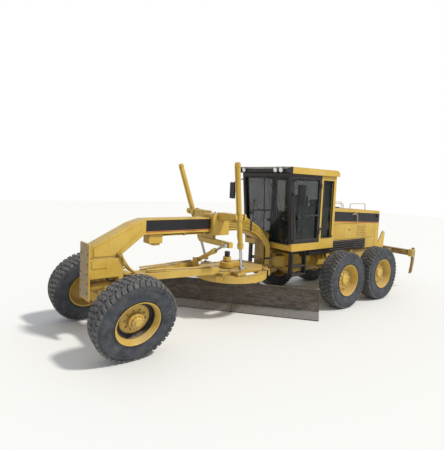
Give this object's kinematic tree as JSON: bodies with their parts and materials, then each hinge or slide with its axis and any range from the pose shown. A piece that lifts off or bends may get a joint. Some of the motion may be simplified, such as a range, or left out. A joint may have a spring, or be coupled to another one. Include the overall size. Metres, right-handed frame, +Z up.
{
  "type": "motor grader",
  "caption": "Articulated road grader with a long curved blade hung under a gooseneck beam, a glazed cab, tandem rear wheels and a rear ripper.",
  "frame": {"origin": "on the ground under the middle of the whole machine", "axes": "+X forward towards the front wheels, +Y to the machine's left, +Z up"},
  "size_m": [9.385, 2.8895, 3.1503],
  "materials": {
    "yellow_paint": "faded satin paint, dusty",
    "dark_paint": "dull dark paint",
    "black_paint": "satin black",
    "tyre_rubber": "dusty rubber",
    "rod_chrome": "polished",
    "worn_steel": "scoured by earth, with rust",
    "engine_iron": "dull cast",
    "window_glass": "clear, dusty",
    "seat_fabric": "woven",
    "console_plastic": "matte"
  },
  "bodies": {
    "rear_frame": {"rear_frame": "yellow_paint", "left_tandem_case": "yellow_paint", "right_tandem_case": "yellow_paint", "cab_body": "yellow_paint", "cab_roof": "yellow_paint", "front_window": "window_glass", "rear_window": "window_glass", "operator_seat": "seat_fabric", "steering_console": "console_plastic", "engine_hood": "yellow_paint", "engine_block": "engine_iron", "exhaust_stack": "dark_paint", "left_ladder": "dark_paint", "right_ladder": "dark_paint", "ripper_cylinder_bracket": "yellow_paint"},
    "front_frame": {"front_frame": "yellow_paint", "front_axle": "yellow_paint", "blade_lift_saddle": "yellow_paint"},
    "left_door": {"left_door": "black_paint", "left_door_window": "window_glass"},
    "right_door": {"right_door": "black_paint", "right_door_window": "window_glass"},
    "left_engine_door": {"left_engine_door": "yellow_paint"},
    "right_engine_door": {"right_engine_door": "yellow_paint"},
    "left_lean_bracket": {"left_lean_bracket": "yellow_paint"},
    "right_lean_bracket": {"right_lean_bracket": "yellow_paint"},
    "wheel_lean_bar": {"wheel_lean_bar": "yellow_paint"},
    "left_steering_knuckle": {"left_steering_knuckle": "dark_paint"},
    "right_steering_knuckle": {"right_steering_knuckle": "dark_paint"},
    "left_lift_cylinder": {"left_lift_cylinder": "yellow_paint"},
    "right_lift_cylinder": {"right_lift_cylinder": "yellow_paint"},
    "left_lift_rod": {"left_lift_rod": "rod_chrome"},
    "right_lift_rod": {"right_lift_rod": "rod_chrome"},
    "drawbar_ball": {"drawbar_ball": "worn_steel"},
    "drawbar": {"drawbar": "yellow_paint"},
    "blade_circle": {"blade_circle": "yellow_paint"},
    "blade_carrier": {"blade_carrier": "yellow_paint"},
    "moldboard": {"moldboard": "worn_steel"},
    "centre_shift_cylinder": {"centre_shift_cylinder": "yellow_paint"},
    "centre_shift_rod": {"centre_shift_rod": "rod_chrome"},
    "ripper": {"ripper": "yellow_paint"},
    "ripper_cylinder": {"ripper_cylinder": "yellow_paint"},
    "ripper_rod": {"ripper_rod": "rod_chrome"},
    "front_left_wheel": {"front_left_rim": "yellow_paint", "front_left_tyre": "tyre_rubber"},
    "front_right_wheel": {"front_right_rim": "yellow_paint", "front_right_tyre": "tyre_rubber"},
    "mid_left_wheel": {"mid_left_rim": "yellow_paint", "mid_left_tyre": "tyre_rubber"},
    "mid_right_wheel": {"mid_right_rim": "yellow_paint", "mid_right_tyre": "tyre_rubber"},
    "rear_left_wheel": {"rear_left_rim": "yellow_paint", "rear_left_tyre": "tyre_rubber"},
    "rear_right_wheel": {"rear_right_rim": "yellow_paint", "rear_right_tyre": "tyre_rubber"}
  },
  "joints": [
    {"name": "articulation", "type": "hinge", "parent": "rear_frame", "child": "front_frame", "pos_m": [0.0875, 0, 1], "axis": [0, 0, 1], "range_deg": [-20, 20]},
    {"name": "wheel_lean", "type": "hinge", "parent": "front_frame", "child": "left_lean_bracket", "pos_m": [4.0375, 0.85846, 0.71958], "axis": [1, 0, 0], "range_deg": [0, 36.6]},
    {"name": "right_wheel_lean", "type": "hinge", "parent": "front_frame", "child": "right_lean_bracket", "pos_m": [4.0375, -0.85846, 0.61673], "axis": [1, 0, 0], "range_deg": [-0.05, 36.65]},
    {"name": "lean_bar_pivot", "type": "hinge", "parent": "left_lean_bracket", "child": "wheel_lean_bar", "pos_m": [4.0375, 0.89189, 0.84521], "axis": [1, 0, 0], "range_deg": [-36.65, 0.05]},
    {"name": "steering", "type": "hinge", "parent": "left_lean_bracket", "child": "left_steering_knuckle", "pos_m": [4.0375, 0.96959, 0.69001], "axis": [0, 0.2571, 0.9664], "range_deg": [-45, 45]},
    {"name": "right_steering", "type": "hinge", "parent": "right_lean_bracket", "child": "right_steering_knuckle", "pos_m": [4.0375, -0.96959, 0.6463], "axis": [0, 0.2571, 0.9664], "range_deg": [-45.05, 45.05]},
    {"name": "front_left_spin", "type": "hinge", "parent": "left_steering_knuckle", "child": "front_left_wheel", "pos_m": [4.0375, 1.05174, 0.66815], "axis": [0, 0.9664, -0.2571], "continuous": true},
    {"name": "front_right_spin", "type": "hinge", "parent": "right_steering_knuckle", "child": "front_right_wheel", "pos_m": [4.0375, -1.05174, 0.66815], "axis": [0, 0.9664, -0.2571], "continuous": true},
    {"name": "mid_left_spin", "type": "hinge", "parent": "rear_frame", "child": "mid_left_wheel", "pos_m": [-1.1725, 1.06, 0.655], "axis": [0, 1, 0], "continuous": true},
    {"name": "mid_right_spin", "type": "hinge", "parent": "rear_frame", "child": "mid_right_wheel", "pos_m": [-1.1725, -1.06, 0.655], "axis": [0, 1, 0], "continuous": true},
    {"name": "rear_left_spin", "type": "hinge", "parent": "rear_frame", "child": "rear_left_wheel", "pos_m": [-2.6425, 1.06, 0.655], "axis": [0, 1, 0], "continuous": true},
    {"name": "rear_right_spin", "type": "hinge", "parent": "rear_frame", "child": "rear_right_wheel", "pos_m": [-2.6425, -1.06, 0.655], "axis": [0, 1, 0], "continuous": true},
    {"name": "centre_shift", "type": "hinge", "parent": "front_frame", "child": "drawbar_ball", "pos_m": [3.6975, 0, 1.02], "axis": [0, 0, -1], "range_deg": [-9, 9]},
    {"name": "blade_lift", "type": "hinge", "parent": "drawbar_ball", "child": "drawbar", "pos_m": [3.6975, 0, 1.02], "axis": [0, -1, 0], "range_deg": [-9.5, 17]},
    {"name": "left_lift_swing", "type": "hinge", "parent": "front_frame", "child": "left_lift_cylinder", "pos_m": [1.8175, 0.78, 2.12], "axis": [1, 0, 0], "range_deg": [-18.68, 18.68]},
    {"name": "left_lift_stroke", "type": "slide", "parent": "left_lift_cylinder", "child": "left_lift_rod", "axis": [-0.2402, -0.1663, -0.9564], "range_m": [-0.37191, 0.66512]},
    {"name": "right_lift_swing", "type": "hinge", "parent": "front_frame", "child": "right_lift_cylinder", "pos_m": [1.8175, -0.78, 2.12], "axis": [1, 0, 0], "range_deg": [-18.68, 18.68]},
    {"name": "right_lift_stroke", "type": "slide", "parent": "right_lift_cylinder", "child": "right_lift_rod", "axis": [-0.2402, 0.1663, -0.9564], "range_m": [-0.37191, 0.66512]},
    {"name": "centre_shift_swing", "type": "hinge", "parent": "front_frame", "child": "centre_shift_rod", "pos_m": [2.0825, 0.7, 1.585], "axis": [1, 0, 0], "range_deg": [-17.15, 30.65]},
    {"name": "centre_shift_stroke", "type": "slide", "parent": "centre_shift_rod", "child": "centre_shift_cylinder", "axis": [0, -0.8966, -0.4428], "range_m": [-0.22795, 0.22795]},
    {"name": "circle_turn", "type": "hinge", "parent": "drawbar", "child": "blade_circle", "pos_m": [1.3175, 0, 0.93], "axis": [0, 0, 1], "continuous": true},
    {"name": "blade_tip", "type": "hinge", "parent": "blade_circle", "child": "blade_carrier", "pos_m": [1.13528, -0.15619, 0.2], "axis": [-0.6508, 0.7593, 0], "range_deg": [-5, 40]},
    {"name": "side_shift", "type": "slide", "parent": "blade_carrier", "child": "moldboard", "axis": [-0.6508, 0.7593, 0], "range_m": [-0.66, 0.51]},
    {"name": "left_door_swing", "type": "hinge", "parent": "rear_frame", "child": "left_door", "pos_m": [-0.6065, 0.7623, 1.6], "axis": [0, 0, 1], "range_deg": [0, 80]},
    {"name": "left_engine_door_swing", "type": "hinge", "parent": "rear_frame", "child": "left_engine_door", "pos_m": [-1.4085, 0.5113, 1.6], "axis": [0, 0, -1], "range_deg": [0, 80]},
    {"name": "right_door_swing", "type": "hinge", "parent": "rear_frame", "child": "right_door", "pos_m": [-0.6065, -0.7623, 1.6], "axis": [0, 0, -1], "range_deg": [0, 80]},
    {"name": "right_engine_door_swing", "type": "hinge", "parent": "rear_frame", "child": "right_engine_door", "pos_m": [-1.4085, -0.5113, 1.6], "axis": [0, 0, 1], "range_deg": [0, 80]},
    {"name": "ripper_lift", "type": "hinge", "parent": "rear_frame", "child": "ripper", "pos_m": [-3.8225, 0, 0.98], "axis": [0, 1, 0], "range_deg": [-32, 10]},
    {"name": "ripper_cylinder_swing", "type": "hinge", "parent": "rear_frame", "child": "ripper_cylinder", "pos_m": [-3.6825, 0, 1.5], "axis": [0, 1, 0], "range_deg": [-18.61, 5.85]},
    {"name": "ripper_stroke", "type": "slide", "parent": "ripper_cylinder", "child": "ripper_rod", "axis": [-0.9083, 0, -0.4183], "range_m": [-0.07031, 0.2239]}
  ],
  "couplings": [
    {"joint": "right_wheel_lean", "follows": "wheel_lean", "ratio": 1},
    {"joint": "lean_bar_pivot", "follows": "wheel_lean", "ratio": -1},
    {"joint": "right_steering", "follows": "steering", "ratio": 1},
    {"joint": "left_lift_swing", "follows": "centre_shift", "ratio": 2.07},
    {"joint": "left_lift_stroke", "follows": "blade_lift", "m_per_rad": 2.24},
    {"joint": "right_lift_swing", "follows": "centre_shift", "ratio": 2.07},
    {"joint": "right_lift_stroke", "follows": "blade_lift", "m_per_rad": 2.24},
    {"joint": "centre_shift_swing", "follows": "blade_lift", "ratio": 1.8},
    {"joint": "centre_shift_stroke", "follows": "centre_shift", "m_per_rad": -1.448},
    {"joint": "ripper_cylinder_swing", "follows": "ripper_lift", "ratio": 0.58},
    {"joint": "ripper_stroke", "follows": "ripper_lift", "m_per_rad": -0.4}
  ]
}
